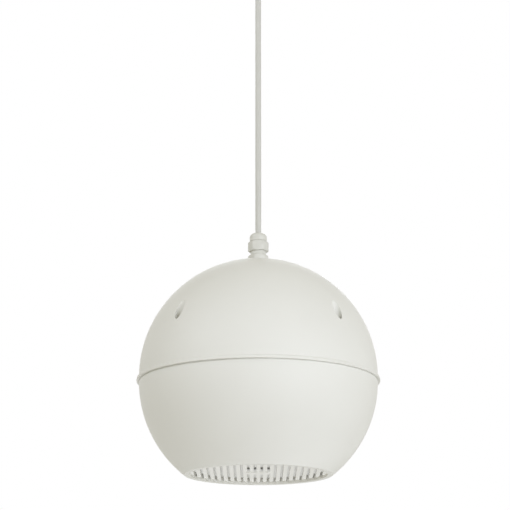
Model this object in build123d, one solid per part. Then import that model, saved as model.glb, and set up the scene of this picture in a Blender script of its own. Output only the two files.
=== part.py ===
from build123d import *
import math
import os

# Pendant loudspeaker: a two-part plastic ball that hangs on its cable from a ceiling fitting.
# Millimetres, +Z up, origin on the ceiling at the middle of the ceiling plate, front towards -Y.

# Ceiling fitting
cover_d = 76.0
cover_h = 28.0
cover_wall = 2.0
cover_edge_r = 4.0
plate_t = 1.5
plate_gap = 0.4
plate_hole_spacing = 50.0
plate_hole_d = 4.5
supply_hole_d = 12.0
tab_w = 12.0
tab_h = 13.0
tab_inset = 1.5
tab_hole_up = 4.0
cover_screw_d = 3.0
cover_screw_l = 8.0
cover_screw_head_d = 5.4
cover_screw_head_h = 1.8
grip_neck_wall = 2.6
grip_wall = 4.1
grip_h = 15.0
grip_edge_r = 1.5
grip_screw_head_d = 5.0
grip_screw_head_h = 1.6
thread_over = 1.0
grip_nut_rim = 2.0
grip_nut_h = 4.0

# Cable, one jacket round two cores
cable_d = 4.8
cable_free_l = 213.3
cable_entry = 2.0
ceiling_jacket_l = 9.0
tail_bend = 12.0
jacket_y = 13.0
core_d = 1.8
core_offset = 1.1
run_gap = 0.1

# Cable gland
gland_thread_wall = 3.6
gland_cap_step = 1.0
gland_hex_rim = 1.5
gland_base_turn = 9.0
gland_nut_turn = -1.0
gland_washer_t = 1.0
gland_washer_rim = 2.0
gland_base_h = 5.0
gland_neck_rim = 0.4
gland_neck_h = 2.9
gland_nut_h = 8.0
gland_dome_h = 7.2
gland_dome_rim = 1.0
gland_dome_r = 3.6
gland_crease_h = 0.5
gland_crease_depth = 0.4
gland_roof_t = 1.0
gland_tail_l = 12.0
gland_seal_t = 2.1
gland_seal_step = 0.5
seal_room = 0.5
lock_nut_rim = 2.5
lock_nut_h = 4.5
lock_nut_turn = 15.0
cable_stop_wall = 4.6
cable_stop_h = 7.0
stop_screw_d = 3.0

# Ball
ball_d = 190.0
shell_wall = 2.5
half_offset = 3.3
parting_below = 1.65
opening_d = 116.6
seat_d = 18.4
gland_pad_d = 24.0
gland_pad_t = 3.6

# Lip of the upper half and joint between the two halves
lip_out = 2.0
lip_draft = 0.4
lip_h = 2.9
lip_crease_r = 0.6
lip_crest_r = 0.9
lip_edge_r = 0.4
opening_edge_r = 0.6
joint_reveal = 0.4
joint_reveal_inset = 0.6
joint_edge_r = 0.5
rim_t = 4.5
rim_h = 5.0
tongue_inset = 3.0
tongue_t = 1.4
tongue_h = 2.0
joint_gap = 0.15
gasket_t = 1.0

# Screw towers
screw_inset = 9.7
screw_count = 4
tower_turn = 45.0
pocket_d = 7.7
pocket_seat_h = 10.0
tower_wall = 1.9
tower_hole_d = 3.6
post_d = 9.0
shell_screw_d = 3.2
shell_screw_head_d = 6.6
shell_screw_head_h = 2.4
shell_screw_l = 20.0
web_t = 3.0
web_bite = 0.5
pilot_over = 0.5

# Grille
grille_recess = 2.2
opening_rim = 4.1
grille_t = 3.0
grille_gap = 0.2
slat_inset = 0.5
slat_count = 21
slat_pitch = 5.25
slat_w = 3.15
badge_l = 18.5
badge_w = 9.0
badge_t = 1.2
badge_corner_r = 2.0
badge_edge_r = 0.35
scrim_t = 0.4

# Driver
flange_w = 6.55
driver_gasket_t = 1.0
basket_t = 1.2
basket_gap = 0.8
driver_screw_d = 3.0
driver_screw_l = 5.5
driver_screw_head_d = 5.0
driver_screw_head_h = 2.0
driver_hole_clear = 0.8
driver_screw_count = 4
land_depth = 2.0
land_gap = 0.4
surround_land = 2.6
surround_lip = 1.6
surround_t = 0.5
roll_r = 2.4
cone_gap = 2.6
spider_depth = 23.0
spider_land_w = 8.0
spider_inset = 1.0
spider_foot = 0.6
spider_t = 0.5
spider_wave = 0.8
spider_waves = 4
neck_d = 58.0
basket_depth = 29.0
back_lip = 2.0
window_count = 6
window_turn = 30.0
window_w = 20.0
window_inset = 4.5
window_margin = 1.5
paper_t = 0.6
cone_rim_w = 1.8
cone_rim_up = 0.4
cone_neck_below = 2.6
glue_t = 0.05
coil_bore_d = 25.4
former_t = 0.15
former_below = 3.4
former_over = 0.5
coil_t = 0.6
coil_h = 10.0
coil_gap = 0.35
dust_cap_d = 34.0
dust_cap_rise = 6.0
top_plate_t = 5.0
magnet_rim = 1.0
magnet_bore_d = 32.0
magnet_t = 12.0
yoke_inset = 1.0
yoke_t = 5.0
vent_d = 6.0
tag_board_l = 14.0
tag_board_t = 1.6
tag_board_h = 12.0
tag_t = 0.5
tag_w = 2.8
tag_up = 3.0
tag_out = 4.0
tag_spacing = 9.0

# Line transformer
core_w = 41.0
core_h = 34.2
core_stack = 14.0
core_leg = 13.7
core_opening_h = 20.5
bobbin_wall = 1.0
winding_clear = 0.4
winding_edge_r = 1.5
transformer_y = 26.0
transformer_drop = 32.0
bracket_t = 1.0
bracket_hole_spacing = 52.0
bracket_leg_l = 20.0
ear_over = 0.5
post_small_d = 7.0
small_screw_d = 2.6
small_screw_bite = 6.5
small_screw_head_d = 4.6
small_screw_head_h = 1.8
small_hole_clear = 0.6

# Terminal blocks
block_l = 20.0
block_w = 16.0
block_h = 11.0
block_y = 34.0
block_edge_r = 1.2
pole_spacing = 10.0
wire_hole_d = 2.4
sleeve_d = 4.4
sleeve_inset = 1.0
wire_entry = 6.0
lead_bend = 6.0
lead_out = 8.0
lead_drop = 16.0
lead_slope_l = 14.0
lead_level_l = 7.0
core_bend = 3.0
core_spread_l = 8.0
tag_lead_bend = 4.0
tag_lead_drop = 22.0
tag_lead_end = 10.0
clamp_screw_d = 2.5
clamp_sunk = 0.8
clamp_slot_w = 0.5
clamp_slot_h = 0.6
ceiling_block_gap = 4.0

# Screw heads, each measure a share of its head's, and the bevel on a nut's corners
recess_l_share = 0.55
recess_w_share = 0.12
recess_h_share = 0.5
head_round_share = 0.45
arc_mid_turn = 45.0
corner_bevel_share = 0.6

# Radii worked out from the sizes above
ball_r = ball_d / 2
inner_r = ball_r - shell_wall
lip_r = ball_r + lip_out
rim_r = ball_r - rim_t
tongue_r = ball_r - tongue_inset
screw_circle_r = ball_r - screw_inset
open_r = opening_d / 2
grille_bore_r = open_r - opening_rim
opening_below = math.sqrt(ball_r**2 - open_r**2)
ledge_r = math.sqrt(inner_r**2 - (opening_below - grille_recess) ** 2)
basket_in_r = ledge_r + land_gap
basket_r = basket_in_r + flange_w
baffle_r = basket_r + basket_gap
driver_screw_r = (basket_r + basket_in_r + basket_t) / 2
roll_out_r = ledge_r - surround_land
roll_in_r = roll_out_r - 2 * roll_r
surround_in_r = roll_in_r - surround_lip
cone_r = surround_in_r - run_gap
neck_r = neck_d / 2
spider_land_r = neck_r + spider_land_w
magnet_r = neck_r + magnet_rim
yoke_r = neck_r - yoke_inset
former_r = coil_bore_d / 2 + former_t
coil_r = former_r + coil_t
grip_thread_d = cable_d + 2 * grip_neck_wall
grip_d = cable_d + 2 * grip_wall
gland_thread_d = cable_d + 2 * gland_thread_wall
gland_flat = gland_thread_d + 2 * gland_hex_rim
gland_neck_d = gland_thread_d + 2 * gland_neck_rim
gland_dome_d = gland_thread_d + 2 * gland_dome_rim
gland_seal_d = cable_d + 2 * gland_seal_t
gland_bore_d = gland_seal_d - 2 * gland_seal_step
gland_cap_d = gland_thread_d - gland_cap_step
cable_stop_d = cable_d + 2 * cable_stop_wall

ceiling_block_y = cover_d / 2 - cover_screw_l - ceiling_block_gap - block_w / 2

# Heights worked out from the ceiling down
seat_drop = ball_r - math.sqrt(ball_r**2 - (seat_d / 2) ** 2)
z_cover_floor = -cover_h
z_grip = z_cover_floor - grip_h
z_grip_screw = z_cover_floor - grip_h / 2
z_cover_screw = tab_hole_up - tab_h
z_jacket_end = z_cover_floor + ceiling_jacket_l
z_gland_top = z_grip - cable_free_l
z_dome = z_gland_top - gland_dome_h
z_nut = z_dome - gland_nut_h
z_neck = z_nut - gland_neck_h
z_seal = z_dome - gland_roof_t - seal_room
z_base = z_neck - gland_base_h
z_seat = z_base - gland_washer_t
z_upper = z_seat + seat_drop - ball_r
z_lower = z_upper - half_offset
z_part = z_lower - parting_below
z_open = z_lower - opening_below
z_ledge = z_open + grille_recess
z_baffle = z_lower - math.sqrt(inner_r**2 - baffle_r**2)
z_flange = z_baffle + driver_gasket_t
z_land = z_flange + land_depth
z_spider = z_flange + spider_depth
z_back = z_flange + basket_depth
z_top_plate = z_back + basket_t
z_magnet = z_top_plate + top_plate_t
z_yoke = z_magnet + magnet_t
z_pad = z_seat - gland_pad_t
z_tail = z_seat - gland_tail_l
z_bracket = z_seat - transformer_drop - seat_drop
z_block = z_bracket

parts = {}


def ring_at(radius, dz):
    """Radius of the circle that a level plane dz from the centre cuts from a sphere."""
    return math.sqrt(radius**2 - dz**2)


def turned(points):
    """Solid of revolution about Z from a closed outline of (radius, z) points."""
    outline = make_face(Plane.XZ * Polyline(*points, close=True))
    return revolve(outline, Axis.Z)


def turned_outline(lines, rounds=()):
    """Solid of revolution from lines and arcs drawn in (radius, z), with some corners rounded."""
    outline = make_face(lines)
    for place, radius in rounds:
        outline = fillet(outline.vertices().sort_by_distance(place)[0], radius)
    return revolve(Plane.XZ * outline, Axis.Z)


def strip(points, thickness):
    """Outline of a sheet that follows a run of points, with its thickness on the left of the run."""
    steps = [(b[0] - a[0], b[1] - a[1]) for a, b in zip(points, points[1:])]
    normals = [(-dy / math.hypot(dx, dy), dx / math.hypot(dx, dy)) for dx, dy in steps]
    sides = [normals[0]] + normals
    far = []
    for point, before, after in zip(points, sides, normals + [normals[-1]]):
        share = thickness / (1 + before[0] * after[0] + before[1] * after[1])
        shift_x = (before[0] + after[0]) * share
        shift_z = (before[1] + after[1]) * share
        far.append((point[0] + shift_x, point[1] + shift_z))
    return list(points) + far[::-1]


def disc(diameter, z_low, z_high, bore=0.0, x=0.0, y=0.0):
    """Plain round disc or ring between two heights."""
    height = z_high - z_low
    body = Cylinder(diameter / 2, height, align=(Align.CENTER, Align.CENTER, Align.MIN))
    if bore > 0:
        body -= Cylinder(bore / 2, height, align=(Align.CENTER, Align.CENTER, Align.MIN))
    return Pos(x, y, z_low) * body


def block(length, width, z_low, z_high, x=0.0, y=0.0):
    """Plain box between two heights."""
    return Pos(x, y, z_low) * Box(length, width, z_high - z_low, align=(Align.CENTER, Align.CENTER, Align.MIN))


def hexagon(flat, z_low, z_high, bore, turn=0.0):
    """Hexagon nut with a bore and the corners rounded off by a turned chamfer at both ends."""
    height = z_high - z_low
    corner_r = flat / math.sqrt(3)
    body = Pos(0, 0, z_low) * extrude(Rot(0, 0, turn) * RegularPolygon(flat / 2, 6, major_radius=False), height)
    bevel = (corner_r - flat / 2) * corner_bevel_share
    body &= turned(
        [
            (0, z_low),
            (corner_r - bevel, z_low),
            (corner_r, z_low + bevel),
            (corner_r, z_high - bevel),
            (corner_r - bevel, z_high),
            (0, z_high),
        ]
    )
    return body - disc(bore, z_low, z_high)


def screw(shank_d, length, head_d, head_h):
    """Cross-recessed pan-head screw: the head stands on the origin and the shank points down."""
    head = Cylinder(head_d / 2, head_h, align=(Align.CENTER, Align.CENTER, Align.MIN))
    head = fillet(head.edges().group_by(Axis.Z)[-1], head_h * head_round_share)
    shank = turned([(0, 0), (shank_d / 2, 0), (shank_d / 2, shank_d / 2 - length), (0, -length)])
    recess_h = head_h * recess_h_share
    slot = block(head_d * recess_l_share, head_d * recess_w_share, head_h - recess_h, head_h)
    return head + shank - slot - Rot(0, 0, 90) * slot


def wire(route, radii, diameter):
    """Round wire or cable along straight runs joined by tangent arcs."""
    path = FilletPolyline(*route, radius=radii) if len(route) > 2 else Line(*route)
    section = Plane(origin=path @ 0, z_dir=path % 0) * Circle(diameter / 2)
    return sweep(section, path)


def around(piece, radius, count, start=tower_turn):
    """Copies of a piece set round the Z axis."""
    step = 360 / count
    return [Rot(0, 0, start + i * step) * Pos(radius, 0, 0) * piece for i in range(count)]


def group(pieces):
    """Several loose solids kept in one file."""
    return Compound(children=list(pieces))


def upper_shell():
    """Upper half of the ball: its lip overhangs the joint, its tongue enters the lower half's groove."""
    z_lip = z_part + lip_h
    z_rim = z_part + rim_h
    sphere_lip = ring_at(ball_r, z_lip - z_upper)
    inside_rim = ring_at(inner_r, z_rim - z_upper)
    pad_r = gland_pad_d / 2
    pad_top = z_upper + ring_at(inner_r, pad_r)
    reveal_r = ball_r - joint_reveal_inset
    step = lip_r - lip_draft - sphere_lip
    bore = gland_thread_d / 2 + run_gap
    z_mid = z_upper + ball_r * math.sin(math.radians(arc_mid_turn))
    z_mid_in = z_upper + inner_r * math.sin(math.radians(arc_mid_turn))
    lines = [
        Line((bore, z_seat), (seat_d / 2, z_seat)),
        ThreePointArc((seat_d / 2, z_seat), (ring_at(ball_r, z_mid - z_upper), z_mid), (sphere_lip, z_lip)),
        Polyline(
            (sphere_lip, z_lip),
            (lip_r - lip_draft, z_lip),
            (lip_r, z_part + joint_reveal),
            (reveal_r, z_part + joint_reveal),
            (reveal_r, z_part),
            (tongue_r + tongue_t, z_part),
            (tongue_r + tongue_t, z_part - tongue_h),
            (tongue_r, z_part - tongue_h),
            (tongue_r, z_part),
            (rim_r, z_part),
            (rim_r, z_rim),
            (inside_rim, z_rim),
        ),
        ThreePointArc((inside_rim, z_rim), (ring_at(inner_r, z_mid_in - z_upper), z_mid_in), (pad_r, pad_top)),
        Polyline((pad_r, pad_top), (pad_r, z_pad), (bore, z_pad), (bore, z_seat)),
    ]
    rounds = [
        ((sphere_lip, z_lip), min(lip_crease_r, 0.4 * step)),
        ((lip_r - lip_draft, z_lip), min(lip_crest_r, 0.5 * step)),
        ((lip_r, z_part + joint_reveal), lip_edge_r),
    ]
    shell = turned_outline(lines, rounds)
    solid_ball = Pos(0, 0, z_upper) * Sphere(ball_r - shell_wall / 2)
    z_pocket = z_part + pocket_seat_h
    z_pole = z_upper + ball_r
    tower = disc(pocket_d + 2 * tower_wall, z_part, z_pole, x=screw_circle_r)
    tower = (tower + web(z_part, z_pole)) & solid_ball
    for copy in around(tower, 0, screw_count):
        shell += copy
    for x, y in hanging_posts():
        shell += disc(post_small_d, z_bracket, z_pole, x=x, y=y) & solid_ball
        shell -= disc(small_screw_d, z_bracket, z_bracket + small_screw_bite + pilot_over, x=x, y=y)
    cut = disc(pocket_d, z_pocket, z_pole, x=screw_circle_r)
    cut += disc(tower_hole_d, z_part, z_pocket, x=screw_circle_r)
    for copy in around(cut, 0, screw_count):
        shell -= copy
    return shell


def web(z_low, z_high):
    """Rib that ties a screw tower to the ball's wall."""
    reach = inner_r + web_bite - screw_circle_r
    body = Box(reach, web_t, z_high - z_low, align=(Align.MIN, Align.CENTER, Align.MIN))
    return Pos(screw_circle_r, 0, z_low) * body


def hanging_posts():
    """Places of the posts inside the top that carry the transformer and the terminal block."""
    half = bracket_hole_spacing / 2
    return [(-half, transformer_y), (half, transformer_y), (0, -block_y)]


def lower_shell():
    """Lower half of the ball, with its groove, grille ledge, driver baffle and screw posts."""
    z_rim = z_part - rim_h
    edge_r = ring_at(ball_r, z_part - z_lower)
    inside_rim = ring_at(inner_r, z_rim - z_lower)
    groove_in = tongue_r - joint_gap
    groove_out = tongue_r + tongue_t + joint_gap
    groove_h = tongue_h + gasket_t
    z_mid = (z_part + z_open) / 2
    z_mid_in = (z_rim + z_baffle) / 2
    lines = [
        Line((groove_out, z_part), (edge_r, z_part)),
        ThreePointArc((edge_r, z_part), (ring_at(ball_r, z_mid - z_lower), z_mid), (open_r, z_open)),
        Polyline(
            (open_r, z_open),
            (grille_bore_r, z_open),
            (grille_bore_r, z_ledge),
            (ledge_r, z_ledge),
            (ledge_r, z_baffle),
            (baffle_r, z_baffle),
        ),
        ThreePointArc((baffle_r, z_baffle), (ring_at(inner_r, z_mid_in - z_lower), z_mid_in), (inside_rim, z_rim)),
        Polyline(
            (inside_rim, z_rim),
            (rim_r, z_rim),
            (rim_r, z_part),
            (groove_in, z_part),
            (groove_in, z_part - groove_h),
            (groove_out, z_part - groove_h),
            (groove_out, z_part),
        ),
    ]
    rounds = [
        ((edge_r, z_part), min(joint_edge_r, 0.4 * (edge_r - groove_out))),
        ((open_r, z_open), opening_edge_r),
        ((grille_bore_r, z_open), opening_edge_r / 2),
    ]
    shell = turned_outline(lines, rounds)
    inside = Pos(0, 0, z_lower) * Sphere(ball_r - shell_wall / 2)
    z_floor = z_lower - ball_r
    post = (disc(post_d, z_floor, z_part, x=screw_circle_r) + web(z_floor, z_part)) & inside
    for copy in around(post, 0, screw_count):
        shell += copy
    tip = z_part + pocket_seat_h - shell_screw_l
    pilot = disc(shell_screw_d + 2 * run_gap, tip - pilot_over, z_part, x=screw_circle_r)
    for copy in around(pilot, 0, screw_count):
        shell -= copy
    tip = z_flange + basket_t - driver_screw_l
    pilot = disc(driver_screw_d + 2 * run_gap, tip - pilot_over, z_baffle, x=driver_screw_r)
    for copy in around(pilot, 0, driver_screw_count, start=0):
        shell -= copy
    return shell - disc(2 * groove_out, z_part - groove_h, z_part, bore=2 * groove_in)


def seam_gasket():
    """Rubber cord pressed into the groove under the tongue."""
    low = z_part - tongue_h - gasket_t
    groove_out = tongue_r + tongue_t + joint_gap
    return disc(2 * groove_out, low, low + gasket_t, bore=2 * (tongue_r - joint_gap))


def shell_screws():
    """Four screws that stand in the pockets and hold the halves together."""
    one = Pos(0, 0, z_part + pocket_seat_h) * screw(
        shell_screw_d, shell_screw_l, shell_screw_head_d, shell_screw_head_h
    )
    return group(around(one, screw_circle_r, screw_count))


def grille():
    """Moulded grille: a ring on the ledge and straight slats from front to back."""
    ring_d = 2 * (ledge_r - grille_gap)
    body = disc(ring_d, z_ledge, z_ledge + grille_t, bore=2 * (grille_bore_r + grille_gap))
    field = disc(ring_d - 2 * slat_inset, z_ledge, z_ledge + grille_t)
    half = (slat_count - 1) / 2
    for k in range(slat_count):
        x = (k - half) * slat_pitch
        body += block(slat_w, ring_d, z_ledge, z_ledge + grille_t, x=x) & field
    return body


def grille_scrim():
    """Cloth glued behind the slats."""
    low = z_ledge + grille_t
    return disc(2 * (ledge_r - grille_gap - slat_inset), low, low + scrim_t)


def badge_plate():
    """Small bare plate fixed on the middle of the grille."""
    outline = RectangleRounded(badge_l, badge_w, badge_corner_r)
    plate = Pos(0, 0, z_ledge - badge_t) * extrude(outline, badge_t)
    return fillet(plate.edges().group_by(Axis.Z)[0], badge_edge_r)


def driver_basket():
    """Pressed steel basket with windows, open at the back for the magnet's pole."""
    front = [
        (basket_r, z_flange),
        (basket_in_r, z_flange),
        (basket_in_r, z_land),
        (cone_r + cone_gap, z_land),
        (spider_land_r, z_spider),
        (neck_r, z_spider),
        (neck_r, z_back),
        (coil_r + back_lip, z_back),
    ]
    body = turned(strip(front, -basket_t))
    window_in = neck_r + window_inset
    reach = cone_r + cone_gap + basket_t - window_in
    window = Box(reach, window_w, z_spider - z_land - basket_t - 2 * window_margin, align=Align.MIN)
    window = Pos(window_in, -window_w / 2, z_land + basket_t + window_margin) * window
    for hole in around(window, 0, window_count, start=window_turn):
        body -= hole
    return body - driver_holes(z_flange, basket_t)


def driver_holes(z_low, height):
    """Clearance holes for the driver's screws through a ring."""
    hole = disc(driver_screw_d + driver_hole_clear, z_low, z_low + height)
    return around(hole, driver_screw_r, driver_screw_count, start=0)


def driver_gasket():
    """Foam ring between the baffle and the basket's flange."""
    body = disc(2 * basket_r, z_baffle, z_flange, bore=2 * basket_in_r)
    return body - driver_holes(z_baffle, driver_gasket_t)


def driver_screws():
    """Four screws through the flange into the baffle."""
    one = screw(driver_screw_d, driver_screw_l, driver_screw_head_d, driver_screw_head_h)
    one = Pos(0, 0, z_flange + basket_t) * one
    return group(around(one, driver_screw_r, driver_screw_count, start=0))


def surround():
    """Half-roll edge between the cone and the basket's land."""
    low = z_land - surround_t
    mid = (roll_in_r + roll_out_r) / 2
    outside = roll_out_r + surround_t
    inside = roll_in_r - surround_t
    lines = [
        Line((surround_in_r, z_land), (roll_in_r, z_land)),
        ThreePointArc((roll_in_r, z_land), (mid, z_land - roll_r), (roll_out_r, z_land)),
        Polyline((roll_out_r, z_land), (ledge_r, z_land), (ledge_r, low), (outside, low)),
        ThreePointArc((outside, low), (mid, z_land - roll_r - surround_t), (inside, low)),
        Polyline((inside, low), (surround_in_r, low), (surround_in_r, z_land)),
    ]
    return turned_outline(lines)


def cone_line():
    """Back face of the cone as (radius, z) points, from the voice coil out to the surround."""
    z_rim = z_land + cone_rim_up
    return [(former_r + glue_t, z_spider - cone_neck_below), (cone_r - cone_rim_w, z_rim), (cone_r, z_rim)]


def cone():
    """Paper cone from the surround down to the voice coil former."""
    body = turned(strip(cone_line(), -paper_t))
    return body - disc(2 * (former_r + glue_t), z_land, z_spider)


def dust_cap():
    """Domed cap glued on the cone's front over the coil."""
    (neck, z_neck_back), (edge, z_edge), rim = cone_line()
    slope = (z_neck_back - z_edge) / (edge - neck)
    half = dust_cap_d / 2
    z_rim = z_neck_back - (half - neck) * slope - paper_t * math.hypot(1, slope) - glue_t
    radius = (half**2 + dust_cap_rise**2) / (2 * dust_cap_rise)
    ball = Sphere(radius) - Sphere(radius - paper_t)
    low = z_rim - dust_cap_rise
    return Pos(0, 0, low + radius) * ball & disc(dust_cap_d, low, z_rim)


def voice_coil_former():
    """Thin tube that carries the coil."""
    top = z_top_plate + top_plate_t / 2 + coil_h / 2 + former_over
    return disc(2 * former_r, z_spider - former_below, top, bore=coil_bore_d)


def voice_coil():
    """Copper winding on the former, standing in the magnet's gap."""
    low = z_top_plate + top_plate_t / 2 - coil_h / 2
    return disc(2 * coil_r, low, low + coil_h, bore=2 * former_r)


def spider():
    """Corrugated cloth disc that centres the coil."""
    inner = former_r + glue_t
    flat_in = inner + spider_inset
    flat_out = neck_r - spider_inset
    step = (flat_out - flat_in) / (2 * spider_waves)
    level = z_spider - spider_wave
    run = [(inner, level), (flat_in, level)]
    for k in range(1, 2 * spider_waves):
        run.append((flat_in + k * step, level + (spider_wave if k % 2 else -spider_wave) / 2))
    run += [(flat_out, level), (neck_r + spider_foot, z_spider), (spider_land_r - spider_inset, z_spider)]
    return turned(strip(run, -spider_t))


def top_plate():
    """Steel ring round the coil's gap."""
    return disc(2 * neck_r, z_top_plate, z_magnet, bore=2 * (coil_r + coil_gap))


def magnet():
    """Ferrite ring."""
    return disc(2 * magnet_r, z_magnet, z_yoke, bore=magnet_bore_d)


def yoke():
    """Steel back plate with its pole in one piece, vented through the middle."""
    top = z_yoke + yoke_t
    body = disc(2 * yoke_r, z_yoke, top) + disc(coil_bore_d - 2 * coil_gap, z_top_plate, z_yoke)
    return body - disc(vent_d, z_top_plate, top)


def tag_place():
    """Radius and height of the tag board, which stands on the back of the spider's land."""
    return neck_r + (spider_land_w + basket_t) / 2, z_spider + basket_t


def driver_tag_board():
    """Fibre board that carries the driver's two tags."""
    radius, low = tag_place()
    return block(tag_board_l, tag_board_t, low, low + tag_board_h, y=radius)


def driver_tags():
    """Two tinned blades on the outer face of the board."""
    radius, low = tag_place()
    y = radius + (tag_board_t + tag_t) / 2
    one = block(tag_w, tag_t, low + tag_up, low + tag_board_h + tag_out)
    return group([Pos(side * tag_spacing / 2, y, 0) * one for side in (-1, 1)])


def core_window():
    """Width of each of the core's two windows."""
    return (core_w - core_leg) / 4


def transformer_core():
    """Laminated core with its centre leg upright."""
    top = z_bracket - bracket_t
    body = block(core_w, core_stack, top - core_h, top, y=transformer_y)
    x = (core_leg + core_window()) / 2
    low = top - (core_h + core_opening_h) / 2
    for side in (-1, 1):
        body -= block(core_window(), core_stack, low, low + core_opening_h, x=side * x, y=transformer_y)
    return body


def bobbin_sizes():
    """Middle height of the bobbin, its bore across and along, and its flange across and along."""
    middle = z_bracket - bracket_t - core_h / 2
    bore = (core_leg + 2 * run_gap, core_stack + 2 * run_gap)
    flange = (core_leg + 2 * core_window() - 2 * run_gap, core_stack + 2 * core_window() - 2 * run_gap)
    return middle, bore, flange


def transformer_bobbin():
    """Nylon bobbin: a square tube with two flanges."""
    middle, bore, flange = bobbin_sizes()
    half = core_opening_h / 2 - run_gap
    wall = 2 * bobbin_wall
    body = block(bore[0] + wall, bore[1] + wall, middle - half, middle + half, y=transformer_y)
    for low in (middle - half, middle + half - bobbin_wall):
        body += block(flange[0], flange[1], low, low + bobbin_wall, y=transformer_y)
    return body - block(bore[0], bore[1], middle - half, middle + half, y=transformer_y)


def winding_face(side):
    """Y of the winding's front face for side -1, or of its back face for side 1."""
    return transformer_y + side * (bobbin_sizes()[2][1] / 2 - winding_clear)


def transformer_winding():
    """Taped winding between the bobbin's flanges."""
    middle, bore, flange = bobbin_sizes()
    half = core_opening_h / 2 - run_gap - bobbin_wall
    wall = 2 * bobbin_wall
    clear = 2 * winding_clear
    body = block(flange[0] - clear, flange[1] - clear, middle - half, middle + half, y=transformer_y)
    body = fillet(body.edges().filter_by(Axis.Z), winding_edge_r)
    return body - block(bore[0] + wall, bore[1] + wall, middle - half, middle + half, y=transformer_y)


def transformer_bracket():
    """Bent steel strap over the core, with an ear at each end for the posts."""
    length = bracket_hole_spacing + post_small_d + 2 * ear_over
    strap = block(length, core_stack, z_bracket - bracket_t, z_bracket, y=transformer_y)
    for side in (-1, 1):
        x = side * (core_w / 2 + bracket_t / 2)
        low = z_bracket - bracket_t - bracket_leg_l
        strap += block(bracket_t, core_stack, low, z_bracket - bracket_t, x=x, y=transformer_y)
        hole_x = side * bracket_hole_spacing / 2
        hole_d = small_screw_d + small_hole_clear
        strap -= disc(hole_d, z_bracket - bracket_t, z_bracket, x=hole_x, y=transformer_y)
    return strap


def small_screw_up(z_face, x, y, length):
    """Small screw driven upwards, with its head under the face that it holds."""
    one = screw(small_screw_d - 2 * run_gap, length, small_screw_head_d, small_screw_head_h)
    return Pos(x, y, z_face) * Rot(180, 0, 0) * one


def transformer_screws():
    """Two screws that hold the bracket's ears to their posts."""
    half = bracket_hole_spacing / 2
    z_face = z_bracket - bracket_t
    length = bracket_t + small_screw_bite
    return group(small_screw_up(z_face, side * half, transformer_y, length) for side in (-1, 1))


def pole_places(y):
    """Places of the four clamping screws, two on each pole of a terminal block."""
    return [(side * pole_spacing / 2, y + end * block_w / 4) for side in (-1, 1) for end in (-1, 1)]


def terminal_body(z_top, y):
    """Nylon body of a two-pole terminal, with its wire holes along Y and screw holes from below."""
    z_wire = z_top - block_h / 2
    body = block(block_l, block_w, z_top - block_h, z_top, y=y)
    body = fillet(body.edges().filter_by(Axis.Z), block_edge_r)
    for side in (-1, 1):
        bore = Rot(90, 0, 0) * Cylinder(sleeve_d / 2 + run_gap, block_w)
        body -= Pos(side * pole_spacing / 2, y, z_wire) * bore
    for place in pole_places(y):
        body -= disc(clamp_screw_d + 2 * run_gap, z_top - block_h, z_wire, x=place[0], y=place[1])
    return body - disc(small_screw_d + small_hole_clear, z_top - block_h, z_top, y=y)


def terminal_sleeves(z_top, y):
    """Two brass sleeves that the wires are clamped in."""
    z_wire = z_top - block_h / 2
    length = block_w - 2 * sleeve_inset
    one = Rot(90, 0, 0) * (Cylinder(sleeve_d / 2, length) - Cylinder(wire_hole_d / 2, length))
    made = []
    for side in (-1, 1):
        body = Pos(side * pole_spacing / 2, y, z_wire) * one
        for place in pole_places(y):
            body -= disc(clamp_screw_d + 2 * run_gap, z_top - block_h, z_wire, x=place[0], y=place[1])
        made.append(body)
    return group(made)


def terminal_clamps(z_top, y):
    """Four small slotted screws that pinch the wires."""
    low = z_top - block_h + clamp_sunk
    top = z_top - block_h / 2 - core_d / 2 - run_gap
    one = disc(clamp_screw_d, low, top) - block(clamp_screw_d, clamp_slot_w, low, low + clamp_slot_h)
    return group(Pos(x, place_y, 0) * one for x, place_y in pole_places(y))


def primary_leads():
    """Two leads that loop under the terminal block to the transformer's winding."""
    z_wire = z_block - block_h / 2
    start = -block_y - block_w / 2 + wire_entry
    turn = start - wire_entry - lead_out
    middle = bobbin_sizes()[0]
    end = winding_face(-1)
    made = []
    for side in (-1, 1):
        x = side * pole_spacing / 2
        route = [
            (x, start, z_wire),
            (x, turn, z_wire),
            (x, turn, z_wire - lead_drop),
            (x, end - lead_slope_l, z_wire - lead_drop),
            (x, end - lead_level_l, middle),
            (x, end, middle),
        ]
        made.append(wire(route, [lead_bend, lead_bend, core_bend, core_bend], core_d))
    return group(made)


def driver_leads():
    """Two leads from the transformer's winding down to the driver's tags."""
    radius, low = tag_place()
    tag_top = low + tag_board_h + tag_out
    tag_y = radius + (tag_board_t + tag_t) / 2
    middle = bobbin_sizes()[0]
    start = winding_face(1)
    made = []
    for side in (-1, 1):
        x = side * tag_spacing / 2
        route = [
            (x, start, middle),
            (x, start + lead_out, middle),
            (x, start + lead_out, middle - tag_lead_drop),
            (x, tag_y, tag_top + tag_lead_end),
            (x, tag_y, tag_top),
        ]
        made.append(wire(route, [tag_lead_bend, lead_bend, tag_lead_bend], core_d))
    return group(made)


def ball_cable_tail():
    """Cable inside the gland and the ball, up to where its jacket ends."""
    z_turn = z_block - block_h / 2
    top = z_gland_top - cable_entry
    return wire([(0, 0, top), (0, 0, z_turn), (0, -jacket_y, z_turn)], [tail_bend], cable_d)


def ball_cores():
    """Two cores from the jacket's end into the terminal block."""
    z_wire = z_block - block_h / 2
    end = -block_y + block_w / 2 - wire_entry
    made = []
    for side in (-1, 1):
        x = side * pole_spacing / 2
        near = side * core_offset
        route = [
            (near, -jacket_y, z_wire),
            (near, -jacket_y - core_bend, z_wire),
            (x, -jacket_y - core_spread_l, z_wire),
            (x, end, z_wire),
        ]
        made.append(wire(route, [core_bend, core_bend], core_d))
    return group(made)


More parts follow.
